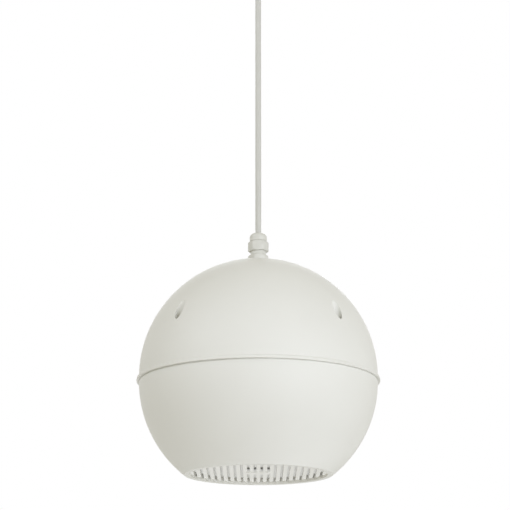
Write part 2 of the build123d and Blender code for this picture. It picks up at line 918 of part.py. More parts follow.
def pendant_cable():
    """Free stretch of the cable, straight under the ball's weight."""
    return wire([(0, 0, z_gland_top - cable_entry), (0, 0, z_grip + cable_entry)], None, cable_d)


def ceiling_cable_tail():
    """Cable inside the ceiling grip and cover."""
    return wire([(0, 0, z_grip + cable_entry), (0, 0, z_jacket_end)], None, cable_d)


def ceiling_cores():
    """Two cores from the jacket's end into the ceiling block."""
    z_wire = -plate_t - block_h / 2
    end = ceiling_block_y - block_w / 2 + wire_entry
    made = []
    for side in (-1, 1):
        x = side * pole_spacing / 2
        near = side * core_offset
        route = [
            (near, 0, z_jacket_end),
            (near, 0, z_jacket_end + core_bend),
            (x, 2 * core_d, z_wire),
            (x, end, z_wire),
        ]
        made.append(wire(route, [core_bend, core_bend], core_d))
    return group(made)


def ceiling_plate():
    """Round steel plate with two ceiling screw holes, a supply hole and two tabs for the cover."""
    tab_out = cover_d / 2 - cover_wall - plate_gap
    body = disc(2 * tab_out, -plate_t, 0, bore=supply_hole_d)
    for side in (-1, 1):
        x = side * plate_hole_spacing / 2
        body -= disc(plate_hole_d, -plate_t, 0, x=x)
        y = side * (tab_out - tab_inset - plate_t / 2)
        body += block(tab_w, plate_t, -tab_h, -plate_t, y=y)
        hole = Rot(90, 0, 0) * Cylinder(cover_screw_d / 2 + run_gap, 2 * plate_t)
        body -= Pos(0, y, z_cover_screw) * hole
    return body - disc(small_screw_d, -plate_t, 0, y=ceiling_block_y)


def ceiling_cover():
    """Moulded cup that hides the plate, with the cable grip through its floor."""
    inner = cover_d / 2 - cover_wall
    body = disc(cover_d, z_cover_floor, 0)
    body = fillet(body.edges().group_by(Axis.Z)[0], cover_edge_r)
    hollow = disc(2 * inner, z_cover_floor + cover_wall, 0)
    hollow = fillet(hollow.edges().group_by(Axis.Z)[0], cover_edge_r / 2)
    body -= hollow
    body -= disc(grip_thread_d + 2 * run_gap, z_cover_floor, z_cover_floor + cover_wall)
    hole = Rot(90, 0, 0) * Cylinder(cover_screw_d / 2 + run_gap, 2 * cover_d)
    return body - Pos(0, 0, z_cover_screw) * hole


def ceiling_cover_screws():
    """Two screws through the cover's side into the plate's tabs."""
    one = screw(cover_screw_d, cover_screw_l, cover_screw_head_d, cover_screw_head_h)
    one = Pos(0, -cover_d / 2, z_cover_screw) * Rot(90, 0, 0) * one
    return group([one, Rot(0, 0, 180) * one])


def ceiling_grip():
    """Moulded grip below the cover, with a threaded neck through its floor."""
    z_top = z_cover_floor + cover_wall + grip_nut_h + thread_over
    body = disc(grip_d, z_grip, z_cover_floor)
    body = fillet(body.edges().group_by(Axis.Z)[0], grip_edge_r)
    body += disc(grip_thread_d, z_cover_floor, z_top)
    body -= disc(cable_d + 2 * run_gap, z_grip, z_top)
    hole = Cylinder(cover_screw_d / 2 + run_gap, grip_d, align=(Align.CENTER, Align.CENTER, Align.MIN))
    return body - Pos(0, 0, z_grip_screw) * Rot(90, 0, 0) * hole


def ceiling_grip_nut():
    """Thin nut on the grip's neck, inside the cover."""
    low = z_cover_floor + cover_wall
    bore = grip_thread_d + 2 * run_gap
    return hexagon(grip_thread_d + 2 * grip_nut_rim, low, low + grip_nut_h, bore)


def ceiling_grip_screw():
    """Nylon screw that pinches the cable in the grip."""
    length = (grip_d - cable_d) / 2 - run_gap
    one = screw(cover_screw_d, length, grip_screw_head_d, grip_screw_head_h)
    return Pos(0, -grip_d / 2, z_grip_screw) * Rot(90, 0, 0) * one


def gland_body():
    """Base hexagon, neck and threaded tail in one moulding."""
    body = hexagon(gland_flat, z_base, z_neck, gland_bore_d, turn=gland_base_turn)
    body += disc(gland_neck_d, z_neck, z_nut, bore=gland_bore_d)
    body += disc(gland_cap_d, z_nut, z_seal, bore=gland_seal_d)
    body += disc(gland_thread_d, z_tail, z_base, bore=gland_bore_d)
    return body


def gland_seal():
    """Rubber bush squeezed round the cable in the gland's mouth."""
    return disc(gland_seal_d, z_nut, z_seal, bore=cable_d)


def gland_dome_nut():
    """Cap nut: a hexagon with a domed top and a round mouth for the cable."""
    inner = gland_cap_d + 2 * run_gap
    dome = disc(gland_dome_d, z_dome, z_gland_top)
    dome = fillet(dome.edges().group_by(Axis.Z)[-1], gland_dome_r)
    body = hexagon(gland_flat, z_nut, z_dome, inner, turn=gland_nut_turn)
    body += dome
    crease_d = gland_dome_d - 2 * gland_crease_depth
    body -= disc(2 * gland_flat, z_dome, z_dome + gland_crease_h, bore=crease_d)
    body -= disc(inner, z_nut, z_dome - gland_roof_t)
    return body - disc(cable_d + 2 * run_gap, z_nut, z_gland_top)


def gland_washer():
    """Flat sealing washer between the gland and the ball."""
    bore = gland_thread_d + 2 * run_gap
    return disc(gland_thread_d + 2 * gland_washer_rim, z_seat, z_base, bore=bore)


def gland_lock_nut():
    """Nut that holds the gland from inside the ball."""
    bore = gland_thread_d + 2 * run_gap
    return hexagon(gland_thread_d + 2 * lock_nut_rim, z_pad - lock_nut_h, z_pad, bore, turn=lock_nut_turn)


def cable_stop():
    """Collar clamped on the cable under the gland, which carries the ball's weight."""
    body = disc(cable_stop_d, z_tail - cable_stop_h, z_tail, bore=cable_d)
    hole = Cylinder(stop_screw_d / 2 + run_gap, cable_stop_d, align=(Align.CENTER, Align.CENTER, Align.MIN))
    return body - Pos(0, 0, z_tail - cable_stop_h / 2) * Rot(0, 90, 0) * hole


def cable_stop_screw():
    """Set screw in the collar."""
    length = cable_stop_wall - run_gap
    body = Cylinder(stop_screw_d / 2, length, align=(Align.CENTER, Align.CENTER, Align.MIN))
    return Pos(cable_d / 2 + run_gap, 0, z_tail - cable_stop_h / 2) * Rot(0, 90, 0) * body


os.makedirs("parts", exist_ok=True)
parts["ceiling_plate"] = ceiling_plate()
parts["ceiling_cover"] = ceiling_cover()
parts["ceiling_cover_screws"] = ceiling_cover_screws()
parts["ceiling_grip"] = ceiling_grip()
parts["ceiling_grip_nut"] = ceiling_grip_nut()
parts["ceiling_grip_screw"] = ceiling_grip_screw()
parts["ceiling_terminal_block"] = terminal_body(-plate_t, ceiling_block_y)
parts["ceiling_terminal_sleeves"] = terminal_sleeves(-plate_t, ceiling_block_y)
parts["ceiling_terminal_screws"] = terminal_clamps(-plate_t, ceiling_block_y)
parts["ceiling_block_screw"] = small_screw_up(
    -plate_t - block_h, 0, ceiling_block_y, block_h + plate_t - 2 * run_gap
)
parts["pendant_cable"] = pendant_cable()
parts["ceiling_cable_tail"] = ceiling_cable_tail()
parts["ceiling_cores"] = ceiling_cores()
parts["ball_cable_tail"] = ball_cable_tail()
parts["ball_cores"] = ball_cores()
parts["gland_body"] = gland_body()
parts["gland_seal"] = gland_seal()
parts["gland_dome_nut"] = gland_dome_nut()
parts["gland_washer"] = gland_washer()
parts["gland_lock_nut"] = gland_lock_nut()
parts["cable_stop"] = cable_stop()
parts["cable_stop_screw"] = cable_stop_screw()
parts["upper_shell"] = upper_shell()
parts["lower_shell"] = lower_shell()
parts["seam_gasket"] = seam_gasket()
parts["shell_screws"] = shell_screws()
parts["grille"] = grille()
parts["badge_plate"] = badge_plate()
parts["grille_scrim"] = grille_scrim()
parts["driver_basket"] = driver_basket()
parts["driver_gasket"] = driver_gasket()
parts["driver_screws"] = driver_screws()
parts["surround"] = surround()
parts["cone"] = cone()
parts["dust_cap"] = dust_cap()
parts["voice_coil_former"] = voice_coil_former()
parts["voice_coil"] = voice_coil()
parts["spider"] = spider()
parts["top_plate"] = top_plate()
parts["magnet"] = magnet()
parts["yoke"] = yoke()
parts["driver_tag_board"] = driver_tag_board()
parts["driver_tags"] = driver_tags()
parts["transformer_core"] = transformer_core()
parts["transformer_bobbin"] = transformer_bobbin()
parts["transformer_winding"] = transformer_winding()
parts["transformer_bracket"] = transformer_bracket()
parts["transformer_screws"] = transformer_screws()
parts["terminal_block"] = terminal_body(z_block, -block_y)
parts["terminal_sleeves"] = terminal_sleeves(z_block, -block_y)
parts["terminal_screws"] = terminal_clamps(z_block, -block_y)
parts["block_screw"] = small_screw_up(z_block - block_h, 0, -block_y, block_h + small_screw_bite)
parts["primary_leads"] = primary_leads()
parts["driver_leads"] = driver_leads()

for name, piece in parts.items():
    export_step(piece, f"parts/{name}.step")
print(f"{len(parts)} pieces, ball centre at {z_upper:.2f}, joint at {z_part:.2f}, opening at {z_open:.2f}")
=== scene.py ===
import math

import bpy
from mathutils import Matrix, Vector


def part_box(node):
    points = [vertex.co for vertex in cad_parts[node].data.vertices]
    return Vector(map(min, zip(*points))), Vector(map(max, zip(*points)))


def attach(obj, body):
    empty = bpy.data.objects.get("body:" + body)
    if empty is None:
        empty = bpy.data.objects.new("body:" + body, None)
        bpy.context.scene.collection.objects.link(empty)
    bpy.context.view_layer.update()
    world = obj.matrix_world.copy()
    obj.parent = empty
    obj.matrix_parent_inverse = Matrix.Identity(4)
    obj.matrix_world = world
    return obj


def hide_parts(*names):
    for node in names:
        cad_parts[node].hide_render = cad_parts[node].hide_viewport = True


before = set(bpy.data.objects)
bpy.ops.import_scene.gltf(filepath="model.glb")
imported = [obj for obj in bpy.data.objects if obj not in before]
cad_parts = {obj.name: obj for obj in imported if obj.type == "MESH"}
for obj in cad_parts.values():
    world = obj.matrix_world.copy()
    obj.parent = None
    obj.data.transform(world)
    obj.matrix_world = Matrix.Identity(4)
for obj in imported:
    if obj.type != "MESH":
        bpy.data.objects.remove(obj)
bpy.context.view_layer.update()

scene = bpy.context.scene
mm = 0.001

# Camera: a long lens about a metre and a half in front of the ball and well below the ceiling,
# pitched up so that the grille under the ball just shows.
lens_mm = 124.13
sensor_mm = 36.0
camera_pitch = 15.26
camera_place = (-0.0027, -1.3776, -0.6500)
sight_near = 0.05
sight_far = 50.0
camera_data = bpy.data.cameras.new("camera")
camera_data.sensor_width = sensor_mm
camera_data.lens = lens_mm
camera_data.clip_start = sight_near
camera_data.clip_end = sight_far
camera = bpy.data.objects.new("camera", camera_data)
camera.location = camera_place
camera.rotation_euler = (math.radians(90 + camera_pitch), 0, 0)
scene.collection.objects.link(camera)
scene.camera = camera

# Pendant cable: two cores in a smooth off-white jacket, pulled straight by the ball's weight.
# It runs from the gland's mouth up into the grip under the ceiling cover, just above the view.
# The same jacket runs on inside the cover and inside the ball.
cable_d = 0.0048
cable_route = [(0, 0, -0.2583), (0, 0, -0.2295), (0, 0, -0.0698), (0, 0, -0.041)]
cable_curve = bpy.data.curves.new("pendant_cord", "CURVE")
cable_curve.dimensions = "3D"
cable_line = cable_curve.splines.new("NURBS")
cable_line.points.add(len(cable_route) - 1)
for point, place in zip(cable_line.points, cable_route):
    point.co = (*place, 1.0)
    point.radius = cable_d / 2
cable_line.order_u = 3
cable_line.use_endpoint_u = True
cable_line.resolution_u = 24
cable_curve.bevel_depth = 1.0
cable_curve.bevel_resolution = 12
cable_curve.use_fill_caps = True
pendant_cord = bpy.data.objects.new("pendant_cord", cable_curve)
scene.collection.objects.link(pendant_cord)
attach(pendant_cord, "speaker")
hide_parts("pendant_cable")


def effect_group(name, feed, numbers, build):
    """Shader node group that turns a place or a coordinate and some numbers into one mask."""
    group = bpy.data.node_groups.new(name, "ShaderNodeTree")
    kind = "NodeSocketVector" if feed == "Place" else "NodeSocketFloat"
    group.interface.new_socket(feed, in_out="INPUT", socket_type=kind)
    for number in numbers:
        group.interface.new_socket(number, in_out="INPUT", socket_type="NodeSocketFloat")
    group.interface.new_socket("Mask", in_out="OUTPUT", socket_type="NodeSocketFloat")
    enter = group.nodes.new("NodeGroupInput")
    leave = group.nodes.new("NodeGroupOutput")
    group.links.new(build(group, enter), leave.inputs["Mask"])
    return group


def worked_out(tree, operation, *operands):
    """Output of a Math node; each operand is a socket or a number."""
    node = tree.nodes.new("ShaderNodeMath")
    node.operation = operation
    for entry, operand in zip(node.inputs, operands):
        if isinstance(operand, (int, float)):
            entry.default_value = operand
        else:
            tree.links.new(operand, entry)
    return node.outputs[0]


def build_grain(group, enter):
    """Two sizes of noise added up: the fine bite of a spark-eroded mould."""
    pit_fineness = 2.3
    pit_share = 0.45
    coarse = group.nodes.new("ShaderNodeTexNoise")
    coarse.inputs["Detail"].default_value = 3.0
    pits = group.nodes.new("ShaderNodeTexVoronoi")
    for texture in (coarse, pits):
        group.links.new(enter.outputs["Place"], texture.inputs["Vector"])
    group.links.new(enter.outputs["Scale"], coarse.inputs["Scale"])
    finer = worked_out(group, "MULTIPLY", enter.outputs["Scale"], pit_fineness)
    group.links.new(finer, pits.inputs["Scale"])
    shallow = worked_out(group, "MULTIPLY", pits.outputs["Distance"], pit_share)
    return worked_out(group, "ADD", shallow, coarse.outputs["Fac"])


def build_mottle(group, enter):
    """Slow clouds, from 0 to 1, for the small unevenness of a moulded or rolled surface."""
    clouds = group.nodes.new("ShaderNodeTexNoise")
    clouds.inputs["Detail"].default_value = 4.0
    clouds.inputs["Roughness"].default_value = 0.55
    clouds.inputs["Distortion"].default_value = 0.4
    spread = group.nodes.new("ShaderNodeMapRange")
    spread.inputs["From Min"].default_value = 0.3
    spread.inputs["From Max"].default_value = 0.7
    group.links.new(enter.outputs["Place"], clouds.inputs["Vector"])
    group.links.new(enter.outputs["Scale"], clouds.inputs["Scale"])
    group.links.new(clouds.outputs["Fac"], spread.inputs["Value"])
    return spread.outputs["Result"]


mould_grain = effect_group("mould_grain", "Place", ["Scale"], build_grain)
slow_mottle = effect_group("slow_mottle", "Place", ["Scale"], build_mottle)


def effect(tree, group, feed, number, value):
    """Places an effect group in a material, sets its number and returns its mask."""
    node = tree.nodes.new("ShaderNodeGroup")
    node.node_tree = group
    tree.links.new(feed, node.inputs[0])
    node.inputs[number].default_value = value
    return node.outputs["Mask"]


def tint(tree, shader, mask, colour):
    """Lays one more colour over the shader's own where the mask is 1."""
    mix = tree.nodes.new("ShaderNodeMix")
    mix.data_type = "RGBA"
    base = shader.inputs["Base Color"]
    if base.is_linked:
        tree.links.new(base.links[0].from_socket, mix.inputs["A"])
    else:
        mix.inputs["A"].default_value = base.default_value
    mix.inputs["B"].default_value = (*colour, 1)
    tree.links.new(mask, mix.inputs["Factor"])
    tree.links.new(mix.outputs["Result"], base)


def relief(tree, shader, height, depth):
    """Adds relief so many metres deep to the shader's surface."""
    bump = tree.nodes.new("ShaderNodeBump")
    bump.inputs["Strength"].default_value = 0.5
    bump.inputs["Distance"].default_value = depth
    normal = shader.inputs["Normal"]
    if normal.is_linked:
        tree.links.new(normal.links[0].from_socket, bump.inputs["Normal"])
    tree.links.new(height, bump.inputs["Height"])
    tree.links.new(bump.outputs["Normal"], normal)


def surface(name, colour, rough, metal=0.0, grain=1200.0, bite=0.00002, clouds=18.0, drift=0.03):
    """Makes a material with slow clouds in its colour and gloss and a fine grain in relief.

    Returns the material, its node tree, its shader and its Object coordinate.
    """
    gloss_drift = 0.08
    made = bpy.data.materials.new(name)
    made.use_nodes = True
    tree = made.node_tree
    shader = tree.nodes["Principled BSDF"]
    shader.inputs["Metallic"].default_value = metal
    place = tree.nodes.new("ShaderNodeTexCoord").outputs["Object"]
    mottle = effect(tree, slow_mottle, place, "Scale", clouds)
    shader.inputs["Base Color"].default_value = (*[c * (1 - drift) for c in colour], 1)
    tint(tree, shader, mottle, [min(1.0, c * (1 + drift / 2)) for c in colour])
    gloss = tree.nodes.new("ShaderNodeMapRange")
    gloss.inputs["To Min"].default_value = rough * (1 - gloss_drift)
    gloss.inputs["To Max"].default_value = min(1.0, rough * (1 + gloss_drift))
    tree.links.new(mottle, gloss.inputs["Value"])
    tree.links.new(gloss.outputs["Result"], shader.inputs["Roughness"])
    relief(tree, shader, effect(tree, mould_grain, place, "Scale", grain), bite)
    return made, tree, shader, place


def dress(material, *names):
    """Gives pieces one material all over."""
    for name in names:
        skin = bpy.data.objects[name].data
        skin.materials.clear()
        skin.materials.append(material)


cable_jacket = surface(
    "cable_jacket", (0.64, 0.638, 0.605), 0.42, grain=500.0, bite=0.00001, clouds=60.0
)[0]
dress(cable_jacket, "pendant_cord", "ceiling_cable_tail", "ball_cable_tail")

# Cable cores and leads: stranded copper in soft insulation, blue and brown in the mains cable.
# The thinner leads inside the ball are black and red. They are bared only where they are clamped.


def wire_pair(name, left, right):
    """Material for two wires side by side, one colour on each side of the middle."""
    made, tree, shader, place = surface(name, left, 0.35, grain=700.0, bite=0.000008, clouds=150.0)
    split = tree.nodes.new("ShaderNodeSeparateXYZ")
    tree.links.new(place, split.inputs[0])
    tint(tree, shader, worked_out(tree, "GREATER_THAN", split.outputs["X"], 0.0), right)
    return made


dress(wire_pair("mains_cores", (0.03, 0.09, 0.32), (0.17, 0.07, 0.03)), "ball_cores", "ceiling_cores")
dress(wire_pair("lead_wires", (0.02, 0.02, 0.02), (0.45, 0.03, 0.02)), "primary_leads", "driver_leads")

# Ceiling fitting: a moulded cup over a zinc-plated steel plate that is screwed to the ceiling.
# Two side screws hold the cup, and a grip with a nut and a nylon screw takes the cable's weight.
ceiling_plastic = surface("ceiling_plastic", (0.84, 0.838, 0.805), 0.42, bite=0.000015)[0]
dress(ceiling_plastic, "ceiling_cover", "ceiling_grip", "ceiling_grip_nut", "ceiling_grip_screw")


def build_spangle(group, enter):
    """Flat crystals of a plated surface, each with its own tone."""
    strongest = 0.35
    crystals = group.nodes.new("ShaderNodeTexVoronoi")
    group.links.new(enter.outputs["Place"], crystals.inputs["Vector"])
    group.links.new(enter.outputs["Scale"], crystals.inputs["Scale"])
    tone = group.nodes.new("ShaderNodeSeparateColor")
    group.links.new(crystals.outputs["Color"], tone.inputs["Color"])
    return worked_out(group, "MULTIPLY", tone.outputs["Red"], strongest)


plating_spangle = effect_group("plating_spangle", "Place", ["Scale"], build_spangle)


def plated(name, colour, rough, crystals=400.0):
    """Plated metal with faint crystals in its colour."""
    dulled = 0.78
    made, tree, shader, place = surface(
        name, colour, rough, metal=1.0, grain=900.0, bite=0.000006, clouds=70.0, drift=0.1
    )
    spangle = effect(tree, plating_spangle, place, "Scale", crystals)
    tint(tree, shader, spangle, [c * dulled for c in colour])
    return made


zinc = plated("zinc_steel", (0.63, 0.64, 0.66), 0.32)
dress(zinc, "ceiling_plate", "ceiling_cover_screws", "ceiling_block_screw")

# Terminal blocks: a nylon body on a screw, with brass sleeves and clamp screws for the cores.
# One hangs under the ceiling plate and one inside the top of the ball.
terminal_nylon, _, nylon_shader, _ = surface(
    "terminal_nylon", (0.78, 0.775, 0.71), 0.38, bite=0.00001, clouds=50.0
)
nylon_shader.inputs["Subsurface Weight"].default_value = 0.12
nylon_shader.inputs["Subsurface Radius"].default_value = (0.002, 0.002, 0.0015)
nylon_shader.inputs["Subsurface Scale"].default_value = 1.0
terminal_brass = plated("terminal_brass", (0.74, 0.57, 0.28), 0.28, crystals=900.0)
dress(terminal_nylon, "ceiling_terminal_block", "terminal_block")
dress(terminal_brass, "ceiling_terminal_sleeves", "ceiling_terminal_screws")
dress(terminal_brass, "terminal_sleeves", "terminal_screws")
dress(zinc, "block_screw")

# Cable gland, cap nut: a nylon hexagon with a domed top and a round mouth, turned down by hand so
# that it squeezes a rubber bush on the cable. The moulding has soft corners and a crease under its
# dome.
flat_w = 15.0 * mm
nut_turn = -1.0
nut_low, nut_high = (end.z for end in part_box("gland_dome_nut"))
hex_h = 8.0 * mm
hex_corner_r = 8.35 * mm
top_shoulder_r = 7.3 * mm
low_shoulder_r = 7.6 * mm
nut_chamfer = 0.6 * mm
dome_r = 7.0 * mm
dome_round = 3.6 * mm
crease_r = 6.4 * mm
crease_h = 0.6 * mm
mouth_r = 2.5 * mm
mouth_round = 0.4 * mm
nut_bore_r = 5.6 * mm
roof_t = 1.0 * mm
nut_edge = 0.25 * mm
turn_steps = 120
weld_gap = 0.001 * mm


def turned_blank(name, outline):
    """Turns a closed outline of (radius, height) points round the Z axis and leaves it in edit mode."""
    bpy.ops.object.select_all(action="DESELECT")
    bpy.ops.mesh.primitive_plane_add(size=mm, location=(0, 0, 0))
    bpy.context.object.name = name
    bpy.ops.object.mode_set(mode="EDIT")
    bpy.ops.mesh.select_all(action="SELECT")
    bpy.ops.mesh.merge(type="CENTER")
    bpy.ops.transform.translate(value=(outline[0][0], 0, outline[0][1]))
    for (r0, z0), (r1, z1) in zip(outline, outline[1:] + outline[:1]):
        bpy.ops.mesh.extrude_vertices_move(TRANSFORM_OT_translate={"value": (r1 - r0, 0, z1 - z0)})
    bpy.ops.mesh.select_all(action="SELECT")
    bpy.ops.mesh.remove_doubles(threshold=weld_gap)
    bpy.ops.mesh.spin(steps=turn_steps, angle=2 * math.pi, center=(0, 0, 0), axis=(0, 0, 1))
    bpy.ops.mesh.select_all(action="SELECT")
    bpy.ops.mesh.remove_doubles(threshold=weld_gap)
    bpy.ops.mesh.normals_make_consistent(inside=False)


def cut_flats(turn):
    """Cuts the six flats for a spanner on the blank that is open in edit mode."""
    for side in range(6):
        angle = math.radians(turn + 30 + 60 * side)
        outward = Vector((math.cos(angle), math.sin(angle), 0))
        bpy.ops.mesh.select_all(action="SELECT")
        bpy.ops.mesh.bisect(
            plane_co=outward * flat_w / 2, plane_no=outward, use_fill=True, clear_outer=True
        )
    bpy.ops.object.mode_set(mode="OBJECT")


def soften(piece, width, segments, angle):
    """Rounds a finished mesh's sharp edges and smooths the rest."""
    edges = piece.modifiers.new("soft_edges", "BEVEL")
    edges.width = width
    edges.segments = segments
    edges.limit_method = "ANGLE"
    edges.angle_limit = math.radians(angle)
    bpy.ops.object.modifier_apply(modifier="soft_edges")
    bpy.ops.object.shade_smooth_by_angle(angle=math.radians(angle))


def corner(centre_r, centre_z, radius, start, end, steps):
    """Points of a round corner in an outline, from one angle to another in degrees."""
    turns = [math.radians(start + (end - start) * step / steps) for step in range(steps + 1)]
    return [
        (centre_r + radius * math.cos(turn), centre_z + radius * math.sin(turn)) for turn in turns
    ]


hex_top = nut_low + hex_h
nut_outline = [
    (nut_bore_r, nut_low),
    (low_shoulder_r, nut_low),
    (hex_corner_r, nut_low + nut_chamfer / 2),
    (hex_corner_r, hex_top - nut_chamfer),
    (top_shoulder_r, hex_top),
    (crease_r, hex_top),
    (crease_r, hex_top + crease_h / 2),
    (dome_r, hex_top + crease_h),
    *corner(dome_r - dome_round, nut_high - dome_round, dome_round, 0, 90, steps=12),
    *corner(mouth_r + mouth_round, nut_high - mouth_round, mouth_round, 90, 180, steps=5),
    (mouth_r, hex_top - roof_t),
    (nut_bore_r, hex_top - roof_t),
]
turned_blank("gland_cap", nut_outline)
cut_flats(nut_turn)
gland_cap = bpy.context.object
soften(gland_cap, nut_edge, segments=3, angle=35)
gland_nylon = surface(
    "gland_nylon", (0.735, 0.733, 0.69), 0.36, grain=900.0, bite=0.00001, clouds=120.0
)[0]
dress(gland_nylon, "gland_cap", "gland_lock_nut")
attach(gland_cap, "speaker")
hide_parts("gland_dome_nut")

# Cable gland, body: one nylon moulding with a base hexagon, a short neck and a threaded tail that
# goes through the ball's top. A washer seals it outside and a flat nut holds it inside.
body_low, body_high = (end.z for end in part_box("gland_body"))
base_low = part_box("gland_washer")[1].z
base_turn = 9.0
base_h = 5.0 * mm
base_shoulder_r = 6.8 * mm
base_cone_h = 1.3 * mm
neck_r = 6.4 * mm
base_bore_r = 4.0 * mm
seal_seat_r = 4.5 * mm
tail_r = 6.0 * mm
tail_pitch = 1.5 * mm
tail_plain = 1.4 * mm
cap_thread_r = 5.5 * mm
cap_pitch = 1.0 * mm
depth_per_pitch = 0.35
base_edge = 0.15 * mm


def thread(crest_r, low, high, pitch):
    """Outline of a thread from low to high, each turn with a root, a flank, a crest and a flank."""
    root_r = crest_r - pitch * depth_per_pitch
    one_turn = [(root_r, 0.0), (root_r, 0.2), (crest_r, 0.45), (crest_r, 0.75)]
    turn_count = int((high - low) / pitch)
    return [(r, low + (k + share) * pitch) for k in range(turn_count) for r, share in one_turn]


base_top = base_low + base_h
body_outline = [
    (base_bore_r, body_low),
    *thread(tail_r, body_low, base_low - tail_plain, tail_pitch),
    (tail_r, base_low - tail_plain),
    (tail_r, base_low),
    (hex_corner_r, base_low),
    (hex_corner_r, base_top - base_cone_h),
    (base_shoulder_r, base_top),
    (neck_r, base_top),
    (neck_r, nut_low),
    *thread(cap_thread_r, nut_low, body_high, cap_pitch),
    (cap_thread_r - cap_pitch * depth_per_pitch, body_high),
    (seal_seat_r, body_high),
    (seal_seat_r, nut_low),
    (base_bore_r, nut_low),
]
turned_blank("gland_base", body_outline)
cut_flats(base_turn)
gland_base = bpy.context.object
soften(gland_base, base_edge, segments=2, angle=40)
dress(gland_nylon, "gland_base")
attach(gland_base, "speaker")
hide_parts("gland_body")

# Seals: a rubber bush in the gland, a washer under it and a cord in the joint between the halves.
# A small steel clamp on the cable inside the ball keeps it from being pulled out.
seal_rubber = surface("seal_rubber", (0.028, 0.028, 0.028), 0.68, grain=800.0, drift=0.2)[0]
dress(seal_rubber, "gland_seal", "gland_washer", "seam_gasket")
dress(zinc, "cable_stop", "cable_stop_screw")

# Ball: two halves moulded in matte off-white plastic with a fine spark-eroded grain.
# The upper half's lip hides the joint, and four long screws in deep pockets hold the halves together.
shell_plastic = surface(
    "shell_plastic", (0.85, 0.848, 0.815), 0.56, grain=1500.0, bite=0.000012, drift=0.015
)[0]
dress(shell_plastic, "upper_shell", "lower_shell")
dress(zinc, "shell_screws")

# Grille: one moulding with straight slats, dropped on a ledge inside the ball's mouth from within.
# A small bare plate with rounded corners is fixed on its middle.
# Its colour is partly its own whiter plastic and partly painted light: it is raised above the shell's so
# that the slats look brighter.
grille_plastic = surface(
    "grille_plastic", (0.97, 0.967, 0.945), 0.5, grain=1500.0, bite=0.00001, drift=0.015
)[0]
dress(grille_plastic, "grille", "badge_plate")

# Grille cloth: a light woven cloth glued flat on the slats' backs, where it keeps dust off the driver
# and hides it. It sags a little between the slats.
scrim_low, scrim_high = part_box("grille_scrim")
cloth_inset = 0.1 * mm
cloth_r = scrim_high.x - cloth_inset
cloth_t = 0.25 * mm
cloth_sag = 0.12 * mm
glue_t = 0.035 * mm
slat_pitch = 5.25 * mm
slat_w = 3.15 * mm
steps_per_pitch = 8
steps_along = 12
rim_sides = 90
pitches = 2 * math.ceil(cloth_r / slat_pitch)
bpy.ops.object.select_all(action="DESELECT")
bpy.ops.mesh.primitive_grid_add(
    x_subdivisions=steps_per_pitch * pitches,
    y_subdivisions=steps_along,
    size=pitches * slat_pitch,
    location=(0, 0, scrim_low.z + glue_t),
)
grille_cloth = bpy.context.object
grille_cloth.name = "grille_cloth"
bpy.ops.object.transform_apply(location=True, rotation=True, scale=True)
bpy.ops.object.mode_set(mode="EDIT")
for side in range(rim_sides):
    angle = 2 * math.pi * side / rim_sides
    outward = Vector((math.cos(angle), math.sin(angle), 0))
    bpy.ops.mesh.select_all(action="SELECT")
    bpy.ops.mesh.bisect(plane_co=outward * cloth_r, plane_no=outward, clear_outer=True)
bpy.ops.object.mode_set(mode="OBJECT")
for vertex in grille_cloth.data.vertices:
    beside_slat = abs(vertex.co.x - slat_pitch * round(vertex.co.x / slat_pitch)) - slat_w / 2
    across_gap = max(0.0, beside_slat) / (slat_pitch / 2 - slat_w / 2)
    vertex.co.z -= cloth_sag * across_gap * (2 - across_gap)
cloth_body = grille_cloth.modifiers.new("cloth_body", "SOLIDIFY")
cloth_body.thickness = cloth_t
cloth_body.offset = 1.0
bpy.ops.object.modifier_apply(modifier="cloth_body")
bpy.ops.object.shade_smooth_by_angle(angle=math.radians(40))


def build_weave(group, enter):
    """Plain weave in the XY plane: 1 where a warp thread is on top and 0 where a weft thread is."""
    split = group.nodes.new("ShaderNodeSeparateXYZ")
    group.links.new(enter.outputs["Place"], split.inputs[0])
    waves = []
    for axis in ("X", "Y"):
        turns = worked_out(group, "DIVIDE", split.outputs[axis], enter.outputs["Pitch"])
        waves.append(worked_out(group, "SINE", worked_out(group, "MULTIPLY", turns, 2 * math.pi)))
    crossings = worked_out(group, "MULTIPLY", *waves)
    return worked_out(group, "MULTIPLY_ADD", crossings, 0.5, 0.5)


plain_weave = effect_group("plain_weave", "Place", ["Pitch"], build_weave)


def woven(name, colour, gap_shade_colour, rough, pitch, depth):
    """Cloth with a plain weave in relief and painted shade, a darker colour, in the gaps between its
    threads.
    """
    gap_shade_share = 0.5
    made, tree, shader, place = surface(name, colour, rough, clouds=40.0, drift=0.06)
    shader.inputs["Sheen Weight"].default_value = 0.2
    weave = effect(tree, plain_weave, place, "Pitch", pitch)
    # Painted shade: the gaps of the weave get the darker colour.
    tint(tree, shader, worked_out(tree, "MULTIPLY", weave, gap_shade_share), gap_shade_colour)
    relief(tree, shader, weave, depth)
    return made


# Its second colour is painted shade in the gaps between the threads.
scrim_cloth = woven(
    "scrim_cloth", (0.93, 0.925, 0.90), (0.80, 0.795, 0.76), 0.9, pitch=0.0008, depth=0.00008
)
dress(scrim_cloth, "grille_cloth")
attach(grille_cloth, "speaker")
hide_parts("grille_scrim")

# Driver frame: a pressed steel basket painted black, on a foam ring against the ball's baffle.
# Four screws hold it, and a fibre board on its side carries the two brass tags.
basket_paint = surface(
    "basket_paint", (0.025, 0.025, 0.026), 0.38, grain=350.0, bite=0.00003, drift=0.15
)[0]
gasket_foam = surface("gasket_foam", (0.05, 0.05, 0.05), 0.95, grain=1800.0, bite=0.0002, drift=0.25)[0]
tag_fibre = surface("tag_fibre", (0.28, 0.14, 0.06), 0.55, grain=1500.0, clouds=120.0, drift=0.2)[0]
dress(basket_paint, "driver_basket")
dress(gasket_foam, "driver_gasket")
dress(zinc, "driver_screws")
dress(tag_fibre, "driver_tag_board")
dress(terminal_brass, "driver_tags")

# Cone and its suspension: pulp paper with a dust cap, a rubber half roll round it and a corrugated
# resin-dipped cloth at the coil. The coil is lacquered copper wire on an aluminium former.


